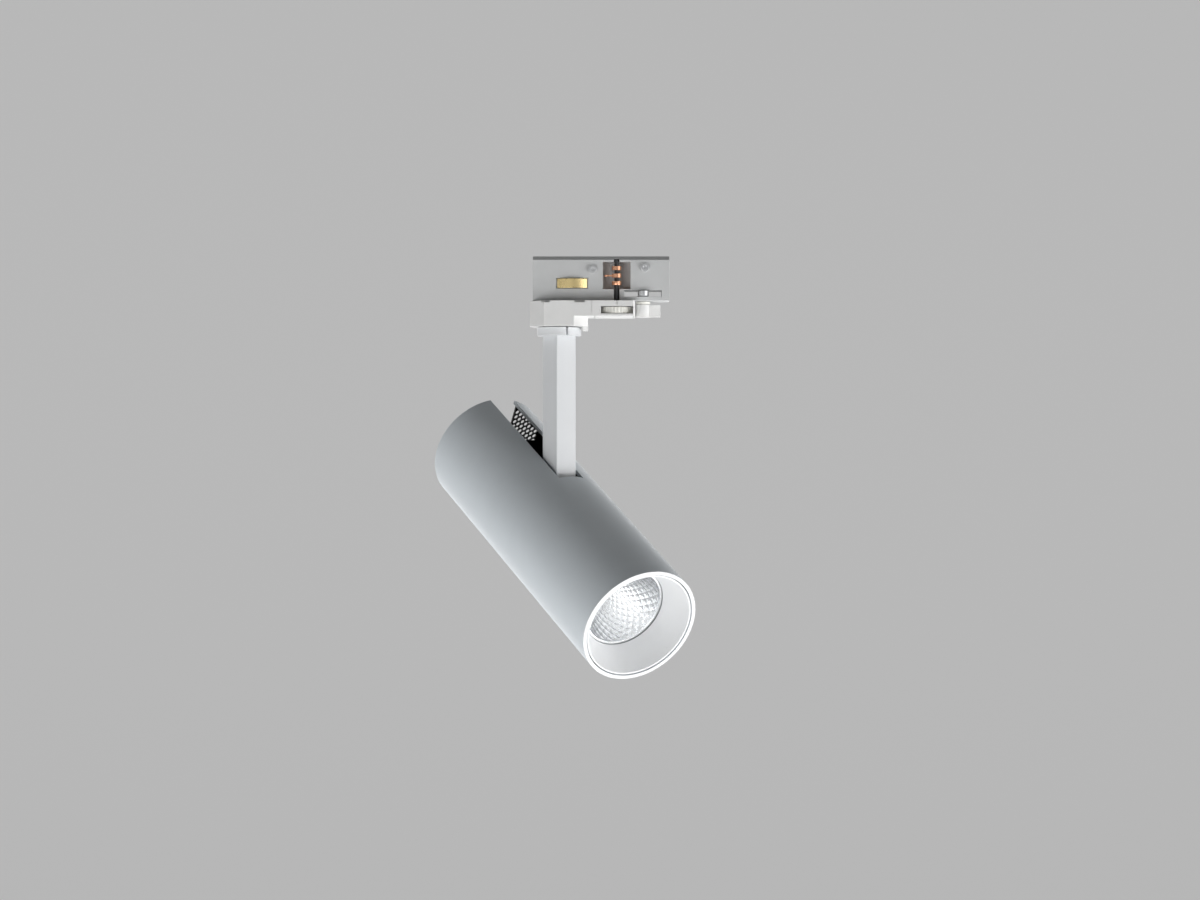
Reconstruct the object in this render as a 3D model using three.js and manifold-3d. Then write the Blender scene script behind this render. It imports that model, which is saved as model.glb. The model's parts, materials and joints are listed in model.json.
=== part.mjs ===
// Track spotlight: a three-circuit track adapter, a rectangular stem that pans under it, and a
// slotted cylindrical head that tilts on the stem's lower end.
//
// Units are millimetres. The origin is on the pan axis, in the plane where the adapter seats
// against the underside of the track. +Z is up, +X runs along the track towards the lock lever.
//
// Three nested groups carry the moving parts:
//   adapter            fixed in the track, with the phase selector and the lock lever in it
//   stem               turned about Z by the pan angle; its +X is the way the head faces
//   head               turned about the stem's Y by the tilt; inside it, `barrel` has the
//                      head's own axis as its X axis, with X = 0 level with the tilt pivot
import * as THREE from "three";
import { mergeVertices } from "three/addons/utils/BufferGeometryUtils.js";
import Module from "manifold-3d";

const wasm = await Module();
wasm.setup();

// ---- Driving dimensions ---------------------------------------------------------------------

const GAP = 0.3; // running and assembly gap between neighbouring pieces
const PAST = 1; // how far a cutting shape runs past the face it cuts
const SCREW_HOLE = 1.7; // clears the machine screws inside the head
const TURN = Math.PI / 180;

const PAN_REST = -59 * TURN; // heading of the head at rest, from +X
const TILT_REST = 60 * TURN; // the head's axis at rest, measured from straight down
const PIVOT_Z = -100; // tilt pivot below the seat

const HEAD = {
  radius: 32.5,
  wall: 2,
  front: 107, // along the head's axis, from the pivot
  rear: -78,
  pivotHeight: 20.5, // pivot above the head's axis
  slotHalf: 7.5,
  slotEnd: 8.3,
};
const HEAD_INNER = HEAD.radius - HEAD.wall;

const STEM = { width: 12, depth: 15, wall: 1.5, top: -17.8, bottom: PIVOT_Z + 4.3 };
const TENON = { halfWidth: 4.2, halfDepth: 5.7 }; // what fits inside the stem tube
const LEAD_RADIUS = 1.3;

const BLOCK = { half: 15.5, faceHalf: 8, bottom: -13.5, cavity: 10.5, floor: -9.5 };
const LUG = { inner: 12.7, half: 6, bottom: -16.3 };
const ARM = { end: 40.6, corner: 1, bottom: -8.2, coverTop: -7 };
const ARM_ROOM = { left: 19, right: 39.9, half: 14, roof: -2.6 };
const WINDOW = { left: 22.4, right: 39.5, bottom: -7, top: -3.1 };
const RIM_NOTCHES = { depth: 1.9, height: 1, spans: [[-9.5, -4.9], [8.2, 13.8]] };
const CHANNEL_BAND = { half: 8.9, depth: 0.4 }; // the strip of the top that faces the channel
const CARRIER = { left: -14, right: 59, half: 8.6, bottom: 0.2, top: 24, chamfer: 2 };
const SELECTOR = { x: 30.8, y: -6.9, radius: 8.8, shaft: 1.2, top: -3.4, bottom: -6.7 };
const LOCK = {
  x: 44.9,
  hub: 4,
  tabReach: 9.3,
  tabHalf: 2.4,
  spindle: 2.4,
  key: 2.3, // across the corners of the hexagonal key
  wingReach: 12.5,
  wingHalf: 3,
  wingBottom: 2.8,
  wingTop: 5.4,
};
const COLLAR = { radius: 11.8, top: -14.5, bottom: -18.7 };
const NIPPLE = { outer: 5, inner: 3.2, top: -1.5, bottom: -16.9 };
const STEM_SCREW = { z: -25, hole: 1.6, shank: 1.3, rear: -7.3, front: -2.9 };
const BARREL_BOLT = { outer: 4, inner: 2.3, head: -8.85, end: 12.7 };
const EYE = { radius: 7.2, half: 5.8 }; // the stem's eye on the tilt bolt

// ---- Materials ------------------------------------------------------------------------------

const finish = (color, roughness, metalness = 0) =>
  new THREE.MeshStandardMaterial({ color, roughness, metalness });

const MATERIAL = {
  head: finish(0xdfe3e5, 0.45, 0.1),
  stem: finish(0xe6e9ea, 0.45, 0.1),
  housing: finish(0xe4e4e2, 0.5),
  carrier: finish(0xc9cbcc, 0.6),
  cream: finish(0xe6e0c8, 0.5),
  copper: finish(0xc07a4a, 0.3, 1),
  brass: finish(0xcbb069, 0.3, 1),
  steel: finish(0xb4b7ba, 0.35, 1),
  nylon: finish(0x2b2d2e, 0.7),
  lead: finish(0xe9e9e6, 0.6),
  black: finish(0x16181a, 0.6),
  grille: finish(0x1b1e20, 0.5, 0.4),
  baffle: finish(0xf0f1f1, 0.5),
  reflector: finish(0xe9ecef, 0.08, 1),
  heatSink: finish(0xa9adb0, 0.4, 1),
  ceramic: finish(0xf2f0ea, 0.6),
  phosphor: finish(0xf1d357, 0.7),
  pad: finish(0x8f9498, 0.9),
  terminal: finish(0xe9ebea, 0.6),
};

// ---- Solids ---------------------------------------------------------------------------------

// A closed three.js geometry as a manifold-3d solid, with its faces turned outwards.
function solid(geometry) {
  const bare = geometry.index ? geometry.toNonIndexed() : geometry.clone();
  for (const name of Object.keys(bare.attributes)) {
    if (name !== "position") bare.deleteAttribute(name);
  }
  const merged = mergeVertices(bare, 1e-4);
  const corners = merged.index.array;
  const kept = [];
  for (let i = 0; i < corners.length; i += 3) {
    const [a, b, c] = [corners[i], corners[i + 1], corners[i + 2]];
    if (a !== b && b !== c && c !== a) kept.push(a, b, c);
  }
  const make = (triangles) =>
    new wasm.Manifold(
      new wasm.Mesh({
        numProp: 3,
        vertProperties: new Float32Array(merged.attributes.position.array),
        triVerts: new Uint32Array(triangles),
      }),
    );
  const made = make(kept);
  if (made.volume() > 0) return made;
  return make(kept.toReversed());
}

const join = (first, ...others) => others.reduce((whole, piece) => whole.add(piece), first);
const cut = (first, ...others) => others.reduce((whole, piece) => whole.subtract(piece), first);

function box(x0, x1, y0, y1, z0, z1) {
  const shape = new THREE.BoxGeometry(x1 - x0, y1 - y0, z1 - z0);
  return solid(shape.translate((x0 + x1) / 2, (y0 + y1) / 2, (z0 + z1) / 2));
}

// Which axis a rod, prism or turned shape runs along: its own Z is turned onto that axis.
function along(axis, geometry) {
  if (axis === "x") geometry.rotateY(Math.PI / 2);
  if (axis === "y") geometry.rotateX(-Math.PI / 2);
  return geometry;
}

// A cylinder from `from` to `to` along an axis, centred on the point `at`.
function rod(axis, from, to, radius, at = [0, 0, 0], segments = 24) {
  const shape = new THREE.CylinderGeometry(radius, radius, to - from, segments);
  shape.rotateX(Math.PI / 2).translate(0, 0, (from + to) / 2);
  return solid(along(axis, shape).translate(...at));
}

const ring = (axis, from, to, outer, inner, at, segments) =>
  cut(
    rod(axis, from, to, outer, at, segments),
    rod(axis, from - 1, to + 1, inner, at, segments),
  );

// A hexagonal nut with a round hole.
const nut = (axis, from, to, acrossCorners, hole, at) =>
  cut(rod(axis, from, to, acrossCorners, at, 6), rod(axis, from - 1, to + 1, hole, at));

// An outline in the XY plane, extruded from z0 to z1.
function prism(points, z0, z1) {
  const shape = new THREE.Shape(points.map(([x, y]) => new THREE.Vector2(x, y)));
  const options = { depth: z1 - z0, bevelEnabled: false };
  return solid(new THREE.ExtrudeGeometry(shape, options).translate(0, 0, z0));
}

// A closed outline of [radius, x] points turned about the head's axis.
function turned(outline, segments) {
  const points = [...outline, outline[0]].map(([r, x]) => new THREE.Vector2(r, x));
  const shape = new THREE.LatheGeometry(points, segments).rotateX(Math.PI / 2);
  return solid(along("x", shape));
}

// A round lead through a list of points.
function lead(points, radius, steps) {
  const curve = new THREE.CatmullRomCurve3(points.map((p) => new THREE.Vector3(...p)));
  const section = new THREE.Shape().absarc(0, 0, radius, 0, 2 * Math.PI, false);
  const options = { extrudePath: curve, steps, curveSegments: 4 };
  return solid(new THREE.ExtrudeGeometry(section, options));
}

// A pan-head screw: its shank runs from `from` to `to`, and its head stands beyond `from`.
function screw(axis, from, to, at, shank = 1.4, headRadius = 2.6, headHeight = 1.5) {
  const away = Math.sign(from - to);
  const [low, high] = away > 0 ? [from, from + headHeight] : [from - headHeight, from];
  const [start, end] = from < to ? [from - 0.1, to] : [to, from + 0.1];
  const head = rod(axis, low, high, headRadius, at, 20);
  const face = away > 0 ? high : low;
  const depth = headHeight * 0.6;
  const recess = rod(axis, face - depth, face + depth, headRadius * 0.42, at, 6);
  return cut(join(head, rod(axis, start, end, shank, at, 14)), recess);
}

function piece(parent, name, material, made) {
  const mesh = made.getMesh();
  const geometry = new THREE.BufferGeometry();
  const position = new THREE.BufferAttribute(mesh.vertProperties, 3);
  geometry.setAttribute("position", position);
  geometry.setIndex(new THREE.BufferAttribute(mesh.triVerts, 1));
  const node = new THREE.Mesh(geometry, material);
  node.name = name;
  parent.add(node);
  return node;
}

// ---- Adapter --------------------------------------------------------------------------------

const octagon = (half, face) => [
  [face, -half],
  [half, -face],
  [half, face],
  [face, half],
  [-face, half],
  [-half, face],
  [-half, -face],
  [-face, -half],
];

// The white moulding below the track: an octagonal block round the swivel and a flat arm. Its
// rims bear on the track; the band between them, which faces the channel, lies a little lower.
function baseHousing() {
  const { end, corner, bottom } = ARM;
  const { half } = BLOCK;
  const block = prism(octagon(half, BLOCK.faceHalf), BLOCK.bottom, 0);
  const arm = prism(
    [
      [0, -half],
      [end - corner, -half],
      [end, corner - half],
      [end, half - corner],
      [end - corner, half],
      [0, half],
    ],
    bottom,
    0,
  );
  const lug = box(LUG.inner, half, -LUG.half, LUG.half, LUG.bottom, BLOCK.bottom + 0.1);
  const swivelCavity = rod("z", BLOCK.floor, PAST, BLOCK.cavity, [0, 0, 0], 40);
  const swivelHole = rod("z", BLOCK.bottom - PAST, 0, NIPPLE.outer + GAP, [0, 0, 0], 40);
  const room = ARM_ROOM;
  const armCavity = box(room.left, room.right, -room.half, room.half, bottom - PAST, room.roof);
  const window = box(
    WINDOW.left,
    WINDOW.right,
    -half - PAST,
    PAST - room.half,
    WINDOW.bottom,
    WINDOW.top,
  );
  const shaftAt = [SELECTOR.x, SELECTOR.y, 0];
  const shaftHole = rod("z", room.roof - PAST, PAST, SELECTOR.shaft + GAP, shaftAt);
  const { depth, height, spans } = RIM_NOTCHES;
  const notches = spans.map(([x0, x1]) => box(x0, x1, -half - PAST, depth - half, -height, PAST));
  const band = CHANNEL_BAND;
  const channelBand = box(-half - PAST, end + PAST, -band.half, band.half, -band.depth, PAST);
  const bosses = COVER_SCREWS.map((at) => rod("z", -6.7, room.roof + 0.1, 2.4, at, 20));
  const bossHoles = COVER_SCREWS.map((at) => rod("z", -7, room.roof - 0.6, 1.4, at, 14));
  return cut(
    join(cut(join(block, arm, lug), swivelCavity, swivelHole, armCavity), ...bosses),
    window,
    shaftHole,
    ...notches,
    channelBand,
    ...bossHoles,
  );
}

const COVER_SCREWS = [
  [22.5, 10, 0],
  [36.5, 10, 0],
];

// The plate that closes the arm from below, with countersinks for its screws.
function baseCover() {
  const { left, right, half } = ARM_ROOM;
  const { bottom, coverTop } = ARM;
  const plate = box(left + GAP, right - GAP, GAP - half, half - GAP, bottom, coverTop);
  const holes = COVER_SCREWS.map((at) => rod("z", bottom - PAST, coverTop + PAST, 1.4, at, 14));
  const sinks = COVER_SCREWS.map((at) => rod("z", bottom - PAST, coverTop - GAP, 2.2, at, 20));
  return cut(plate, ...holes, ...sinks);
}

const coverScrew = (at) => screw("z", -7.5, -3.6, at, 1.1, 1.9, 0.7);

// One half of the insulating body that stands in the track's channel. `side` is -1 or +1 in Y.
function carrierHalf(side) {
  const inner = side * 0.15;
  const outer = side * CARRIER.half;
  const shoulder = side * (CARRIER.half - CARRIER.chamfer);
  const section = new THREE.Shape(
    [
      [inner, CARRIER.bottom],
      [outer, CARRIER.bottom],
      [outer, CARRIER.top - CARRIER.chamfer],
      [shoulder, CARRIER.top],
      [inner, CARRIER.top],
    ].map(([y, z]) => new THREE.Vector2(y, z)),
  );
  const length = CARRIER.right - CARRIER.left;
  const bar = new THREE.ExtrudeGeometry(section, { depth: length, bevelEnabled: false });
  // The section's X and Y become the part's Y and Z, and its depth runs along X.
  bar.rotateY(Math.PI / 2).rotateX(Math.PI / 2).translate(CARRIER.left, 0, 0);
  const body = solid(bar);
  const terminalRoom = box(-11, 13, -6.6, 6.6, -PAST, 20);
  const shaftAt = [SELECTOR.x, SELECTOR.y, 0];
  const bore = SELECTOR.shaft + GAP;
  const rotorRoom = rod("z", 6.4, 21, 7.6, shaftAt, 40);
  const shaftBore = rod("z", -PAST, 22.6, bore, shaftAt, 20);
  const shaftSide = box(SELECTOR.x - bore, SELECTOR.x + bore, -9, SELECTOR.y, -PAST, 22.6);
  const lockAt = [LOCK.x, 0, 0];
  const wingRoom = rod("z", LOCK.wingBottom - 0.4, LOCK.wingTop + 0.4, 13.2, lockAt, 40);
  const lockBore = rod("z", -PAST, 12.6, LOCK.spindle + 0.4, lockAt, 24);
  const earthRecess = box(-1.5, 15.5, side * 7.4, side * 9, 6.7, 12.3);
  const neutralSlot = box(23.7, 36.3, 3.4, 9, 14.7, 16.1);
  const screwHoles = CARRIER_SCREWS.map((at) => rod("y", -9, 9, 1.5, at, 14));
  return cut(
    body,
    terminalRoom,
    rotorRoom,
    shaftBore,
    shaftSide,
    wingRoom,
    lockBore,
    earthRecess,
    neutralSlot,
    ...screwHoles,
  );
}

const CARRIER_SCREWS = [
  [18, 0, 17],
  [46, 0, 18],
];

// A leaf spring that bows out of the carrier's side to press on the track's lip.
function earthContact(side) {
  const steps = 10;
  const bow = (offset) =>
    Array.from({ length: steps + 1 }, (_, i) => {
      const share = i / steps;
      return [-1 + 16 * share, 7.8 + offset + 2.4 * Math.sin(Math.PI * share)];
    });
  const outline = [...bow(0), ...bow(0.5).reverse()].map(([x, y]) => [x, side * y]);
  return prism(outline, 7, 12);
}

function neutralContact() {
  return prism(
    [
      [24, 3.7],
      [36, 3.7],
      [36, 7],
      [32.5, 13.2],
      [27.5, 13.2],
      [24, 7],
    ],
    15,
    15.8,
  );
}

function terminalBlock() {
  const block = box(-8, 10, -5.5, 5.5, 8, 18);
  const wells = [-4.5, 1, 6.5].map((x) => rod("z", 14, 19, 1.6, [x, 0, 0], 16));
  return cut(block, ...wells);
}

// ---- Phase selector -------------------------------------------------------------------------

// The thumb wheel, with a rib every 12 degrees round its rim.
function selectorWheel() {
  const ribs = 30;
  const outline = Array.from({ length: 2 * ribs }, (_, i) => {
    const angle = (i * Math.PI) / ribs;
    const radius = i % 2 ? SELECTOR.radius - 0.35 : SELECTOR.radius;
    return [radius * Math.cos(angle), radius * Math.sin(angle)];
  });
  const wheel = prism(outline, SELECTOR.bottom, SELECTOR.top);
  const boss = rod("z", SELECTOR.top - 0.1, -2.9, 3);
  return cut(join(wheel, boss), rod("z", -9, 0, SELECTOR.shaft + 0.15, [0, 0, 0], 24));
}

// A contact blade on the selector shaft; `heading` is the way it points.
function phaseContact(heading, z) {
  const thickness = 0.8;
  const arm = box(1.9, 5.2, -1.5, 1.5, z, z + thickness);
  const tip = rod("z", z, z + thickness, 1.5, [5.1, 0, 0], 20);
  const eye = rod("z", z - 0.6, z + thickness + 0.6, 2.6, [0, 0, 0], 24);
  const hole = rod("z", z - 2, z + 3, SELECTOR.shaft + 0.15, [0, 0, 0], 24);
  return cut(join(eye, arm, tip), hole).rotate([0, 0, heading]);
}

// ---- Lock lever -----------------------------------------------------------------------------

// The lever under the track: a hub with a tab that the thumb pushes.
function lockLever() {
  const hub = rod("z", -8.4, -1.6, LOCK.hub);
  const tab = box(0, LOCK.tabReach, -LOCK.tabHalf, LOCK.tabHalf, -8.2, -1.9);
  const socket = rod("z", -4.6, -1, LOCK.key, [0, 0, 0], 6);
  return cut(join(hub, tab), socket);
}

// The spindle that the lever turns, with two flats at its waist to drive the wing.
function lockCam() {
  const flatHalf = 1.6;
  const top = 12;
  const flange = rod("z", -1.3, -0.1, LOCK.hub);
  const spindle = rod("z", -1.2, top, LOCK.spindle, [0, 0, 0], 24);
  const key = rod("z", -4.3, -1.2, LOCK.key - 0.35, [0, 0, 0], 6);
  const waistBottom = LOCK.wingBottom - GAP;
  const waistTop = LOCK.wingTop + GAP;
  const flats = box(-LOCK.hub, LOCK.hub, -flatHalf, flatHalf, waistBottom, waistTop);
  const waist = cut(rod("z", waistBottom, waistTop, LOCK.hub), flats.intersect(spindle));
  return cut(join(flange, spindle, key), waist);
}

// The steel bar that swings out over the track's lips, with an opening that fits the flats.
function lockWing() {
  const { wingReach: reach, wingHalf: half, wingBottom: z0, wingTop: z1 } = LOCK;
  const bar = box(-half, half, half - reach, reach - half, z0, z1);
  const ends = [-1, 1].map((side) => rod("z", z0, z1, half, [0, side * (reach - half), 0], 24));
  const opening = box(-half, half, -1.8, 1.8, z0 - PAST, z1 + PAST);
  const round = rod("z", z0 - PAST, z1 + PAST, LOCK.spindle + 0.2, [0, 0, 0], 24);
  return cut(join(bar, ...ends), opening.intersect(round));
}

// ---- Stem -----------------------------------------------------------------------------------

const tenon = (z0, z1) =>
  box(-TENON.halfDepth, TENON.halfDepth, -TENON.halfWidth, TENON.halfWidth, z0, z1);

// The disc that turns under the block, with the stem tube's socket below and a slit in its rim.
function swivelCollar() {
  const { depth, width } = STEM;
  const fit = 0.25;
  const disc = rod("z", COLLAR.bottom, COLLAR.top, COLLAR.radius, [0, 0, 0], 48);
  const pocket = box(
    -depth / 2 - fit,
    depth / 2 + fit,
    -width / 2 - fit,
    width / 2 + fit,
    COLLAR.bottom - PAST,
    STEM.top + GAP,
  );
  const nippleSeat = rod("z", NIPPLE.bottom - GAP, 0, NIPPLE.outer + fit, [0, 0, 0], 40);
  const leadHole = rod("z", -40, 0, 2.3, [0, 0, 0], 24);
  const slit = box(COLLAR.radius - 2.5, COLLAR.radius + 2, -0.55, 0.55, -20, -14);
  const slitHeading = -68 - PAN_REST / TURN; // keeps the slit's place when the rest pan changes
  return cut(
    join(cut(disc, pocket), tenon(-30, STEM.top + GAP + 0.1)),
    nippleSeat,
    leadHole,
    slit.rotate([0, 0, slitHeading]),
    stemScrewHole(),
  );
}

const stemScrewHole = () => rod("x", -9, -2.6, STEM_SCREW.hole, [0, 0, STEM_SCREW.z], 20);

function stemTube() {
  const { depth, width, wall, top, bottom } = STEM;
  const outer = box(-depth / 2, depth / 2, -width / 2, width / 2, bottom, top);
  const bore = box(
    wall - depth / 2,
    depth / 2 - wall,
    wall - width / 2,
    width / 2 - wall,
    bottom - PAST,
    top + PAST,
  );
  return cut(outer, bore, stemScrewHole());
}

// The headless screw at the back that holds the stem tube on the collar's tenon.
function stemScrew() {
  const { z, shank, rear, front } = STEM_SCREW;
  const recess = rod("x", rear - PAST, rear + 1.1, 0.8, [0, 0, z], 6);
  return cut(rod("x", rear, front, shank, [0, 0, z], 20), recess);
}

// The eye that the head hangs from, with a tenon up into the stem tube.
function pivotKnuckle() {
  const eye = rod("y", -EYE.half, EYE.half, EYE.radius, [0, 0, PIVOT_Z], 40);
  const belowTube = box(-10, 10, -10, 10, PIVOT_Z - 10, PIVOT_Z + 4);
  return cut(
    join(eye.intersect(belowTube), tenon(PIVOT_Z + 3, PIVOT_Z + 18)),
    rod("y", -9, 9, BARREL_BOLT.outer + GAP, [0, 0, PIVOT_Z], 32),
    rod("z", PIVOT_Z, PIVOT_Z + 20, 2.6, [0, 0, 0], 24),
  );
}

// The hollow bolt that the head tilts on. The lead drops in from the stem and leaves at its end.
function pivotBolt() {
  const { outer, inner, head, end } = BARREL_BOLT;
  const at = [0, 0, PIVOT_Z];
  const cap = rod("y", head - 1.8, head, 6.4, at, 32);
  const shank = rod("y", head - 0.1, end, outer, at, 32);
  const bore = rod("y", -4.5, end + 1, inner, at, 24);
  const hexSocket = rod("y", head - 3, head - 0.9, 2.3, at, 6);
  const leadEntry = rod("z", PIVOT_Z, PIVOT_Z + 6, 2.3, [0, 0, 0], 24);
  return cut(join(cap, shank), bore, hexSocket, leadEntry);
}

// The supply lead in the stem: down the pan axis, then out along the tilt axis.
function stemLead() {
  const at = [0, 0, PIVOT_Z];
  const elbow = solid(new THREE.SphereGeometry(LEAD_RADIUS, 16, 10).translate(...at));
  const down = rod("z", PIVOT_Z, 1, LEAD_RADIUS, [0, 0, 0], 12);
  const out = rod("y", 0, BARREL_BOLT.end, LEAD_RADIUS, at, 12);
  return join(elbow, down, out);
}

// ---- Head -----------------------------------------------------------------------------------

const HEAT_SINK = { rear: 15, baseRear: 51, front: 57, core: 12, radius: 30.1, fins: 20 };
const TUBE_SCREW_X = 54;
const CHASSIS = { top: 4.9, bottom: 3.4, half: 14.5, frontTab: [13, 14.6], rearTab: -74.5 };
const GRILLE = { outer: -76, inner: -74.8, radius: 30.2, notchHalf: 7.9, notchFloor: 12 };
const BAFFLE = { lip: 106.5, outer: 30.2, mouth: 28.8, throat: 22.5, throatBehindLip: 17.3 };
const EMITTER = { board: 57.8, boardFront: 59.1, half: 9.5, light: 6.5 };
const DRIVER = { rear: -70, front: -14, half: 15, top: 2.9, bottom: -22 };
const BRACKET = { inside: 7, outside: 8.6, base: 5.2, web: 6.8, ear: 7 };
const CHASSIS_SCREWS = [-8, 8]; // Y of each screw from the chassis into the heat sink
const GRILLE_SCREWS = [-8, 8]; // Y of each screw from the grille into the chassis
const BRACKET_SCREWS = [-2.5, 8]; // X of each screw from the bracket into the chassis
const HOLDER_SCREWS = [-16, 16]; // Y of each screw from the LED holder into the heat sink
const CHASSIS_SCREW_Z = -3;
const GRILLE_SCREW_Z = -6;

// Holes for the two screws that hold the tube on the heat sink, one below and one at the side.
const tubeScrewHoles = (radius, segments) => [
  rod("z", -40, -20, radius, [TUBE_SCREW_X, 0, 0], segments),
  rod("y", 20, 40, radius, [TUBE_SCREW_X, 0, 0], segments),
];

// The painted tube, with a slot along its top for the stem.
function headTube() {
  const { radius, front, rear, slotHalf, slotEnd } = HEAD;
  const tube = ring("x", rear, front, radius, HEAD_INNER, [0, 0, 0], 72);
  const slot = box(rear - PAST, slotEnd, -slotHalf, slotHalf, 0, radius + PAST);
  return cut(tube, slot, ...tubeScrewHoles(1.9, 20));
}

// The disc that closes the tube's rear, notched for the slot.
function rearGrille() {
  const disc = rod("x", GRILLE.outer, GRILLE.inner, GRILLE.radius, [0, 0, 0], 56);
  const { notchHalf, notchFloor } = GRILLE;
  const notch = box(-80, -70, -notchHalf, notchHalf, notchFloor, 40);
  const holes = GRILLE_SCREWS.map((y) => rod("x", -80, -70, 1.8, [0, y, GRILLE_SCREW_Z], 16));
  return cut(disc, notch, ...holes);
}

// The anti-glare cone inside the mouth, with a skirt that fits the tube's bore.
function baffle() {
  const { lip, outer, mouth, throat, throatBehindLip } = BAFFLE;
  const wall = 1.4;
  const coneTop = lip - 3.5;
  const skirtEnd = lip - 7.5;
  return turned(
    [
      [outer, lip],
      [mouth, lip],
      [mouth - 0.4, lip - 0.4],
      [throat, lip - throatBehindLip],
      [throat + wall, lip - throatBehindLip],
      [outer - 1.5, coneTop],
      [outer - 1.2, coneTop],
      [outer - 1.2, skirtEnd],
      [outer, skirtEnd],
    ],
    56,
  );
}

const REFLECTOR = { neckX: 63.8, neckRadius: 8, mouthX: 88.8, mouthRadius: 21.3, rows: 5 };

// A parabola from the neck to the mouth, with a flange a little behind the mouth.
function reflector() {
  const { neckX, neckRadius, mouthX, mouthRadius, rows } = REFLECTOR;
  const wall = 0.8;
  const spread = (mouthRadius ** 2 - neckRadius ** 2) / (mouthX - neckX);
  const inside = Array.from({ length: rows + 1 }, (_, i) => {
    const x = mouthX + ((neckX - mouthX) * i) / rows;
    return [Math.sqrt(neckRadius ** 2 + spread * (x - neckX)), x];
  });
  const outside = inside.slice(1).reverse().map(([r, x]) => [r + wall, x]);
  const flangeFront = mouthX - 1.2;
  const flangeRear = mouthX - 2.2;
  return turned(
    [
      ...inside,
      ...outside.filter(([, x]) => x < flangeRear),
      [21.8, flangeRear],
      [28.6, flangeRear],
      [28.6, flangeFront],
      [mouthRadius + wall, flangeFront],
      [mouthRadius + wall, mouthX],
    ],
    40,
  );
}

// The ceramic ring that clamps the LED board to the heat sink.
function ledHolder() {
  const body = rod("x", 57.4, 63.5, 20, [0, 0, 0], 36);
  const boardPocket = box(57, 59.4, -9.8, 9.8, -9.8, 9.8);
  const light = rod("x", 58, 65, 8.3, [0, 0, 0], 32);
  const holes = HOLDER_SCREWS.map((y) => rod("x", 57, 65, 1.8, [0, y, 0], 16));
  const leadNotch = box(57, 61, -16, -8, -16, -8);
  return cut(body, boardPocket, light, leadNotch, ...holes);
}

// A turned core with radial fins behind a round base that the LED board sits on.
function heatSink() {
  const { rear, baseRear, front, core, radius, fins } = HEAT_SINK;
  const pitch = (2 * Math.PI) / fins;
  const halfFin = 0.8;
  const outline = [];
  for (let fin = 0; fin < fins; fin++) {
    const heading = fin * pitch;
    const point = (r, side) => {
      const angle = heading + side * Math.asin(halfFin / r);
      return [r * Math.cos(angle), r * Math.sin(angle)];
    };
    outline.push(point(core, -1), point(radius, -1), point(radius, 1), point(core, 1));
  }
  const shape = new THREE.Shape(outline.map(([a, b]) => new THREE.Vector2(a, b)));
  const options = { depth: baseRear - rear + 0.1, bevelEnabled: false };
  const finned = new THREE.ExtrudeGeometry(shape, options).translate(0, 0, rear);
  const base = rod("x", baseRear, front, radius, [0, 0, 0], 56);
  const leadHole = rod("x", 40, 60, 1.8, LED_LEAD_PASS, 16);
  const chassisHoles = CHASSIS_SCREWS.map((y) =>
    rod("x", 10, 24, SCREW_HOLE, [0, y, CHASSIS_SCREW_Z], 14),
  );
  const holderHoles = HOLDER_SCREWS.map((y) => rod("x", 50, 60, SCREW_HOLE, [0, y, 0], 14));
  return cut(
    join(solid(along("x", finned)), base),
    leadHole,
    ...chassisHoles,
    ...holderHoles,
    ...tubeScrewHoles(SCREW_HOLE, 14),
  );
}

// The LED lead runs between two fins; this is where it passes, as Y and Z.
const LED_LEAD_PASS = [0, -17.5, -17.5];

// The folded plate that ties heat sink, bracket, driver and grille together.
function chassis() {
  const { top, bottom, half, frontTab, rearTab } = CHASSIS;
  const plate = box(rearTab + 0.1, frontTab[1] - 0.1, -half, half, bottom, top);
  const front = box(frontTab[0], frontTab[1], -half, half, -8, top);
  const rear = box(rearTab, rearTab + 1.4, -12, 12, -12, top);
  const frontHoles = CHASSIS_SCREWS.map((y) =>
    rod("x", 10, 16, SCREW_HOLE, [0, y, CHASSIS_SCREW_Z], 14),
  );
  const rearHoles = GRILLE_SCREWS.map((y) =>
    rod("x", -80, -70, SCREW_HOLE, [0, y, GRILLE_SCREW_Z], 14),
  );
  const bracketHoles = BRACKET_SCREWS.map((x) => rod("z", 0, 8, SCREW_HOLE, [x, 0, 0], 14));
  return cut(join(plate, front, rear), ...frontHoles, ...rearHoles, ...bracketHoles);
}

// The folded steel bracket whose two ears hold the tilt bolt.
function pivotBracket() {
  const { inside, outside, base, web, ear } = BRACKET;
  const pivotAt = [0, 0, HEAD.pivotHeight];
  const foot = box(-ear, 12.4, -outside, outside, base, web);
  const ears = [-outside, inside].map((y0) => {
    const y1 = y0 + outside - inside;
    return join(box(-ear, ear, y0, y1, base, HEAD.pivotHeight), rod("y", y0, y1, ear, pivotAt));
  });
  const pivotHole = rod("y", -12, 12, BARREL_BOLT.outer + 0.2, pivotAt);
  const screwHoles = BRACKET_SCREWS.map((x) => rod("z", 0, 9, SCREW_HOLE, [x, 0, 0], 14));
  return cut(join(foot, ...ears), pivotHole, ...screwHoles);
}

// The LED driver's case, with its two lower edges cut off at 45 degrees.
function driverCase() {
  const { rear, front, half, top, bottom } = DRIVER;
  const body = box(rear, front, -half, half, bottom, top);
  const corners = [-1, 1].map((side) =>
    box(rear - 1, front + 1, -4, 4, -4, 4)
      .rotate([45, 0, 0])
      .translate([0, side * (half + 1.5), bottom - 1.5]),
  );
  return cut(body, ...corners);
}

function driverTerminals() {
  const block = box(DRIVER.front + GAP, -8.3, -13, 13, -16, 0);
  const wells = [-10.5, -7.5, 7.5, 10.5].map((y) => rod("x", -10, -7, 1, [0, y, -3], 12));
  return cut(block, ...wells);
}

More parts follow.
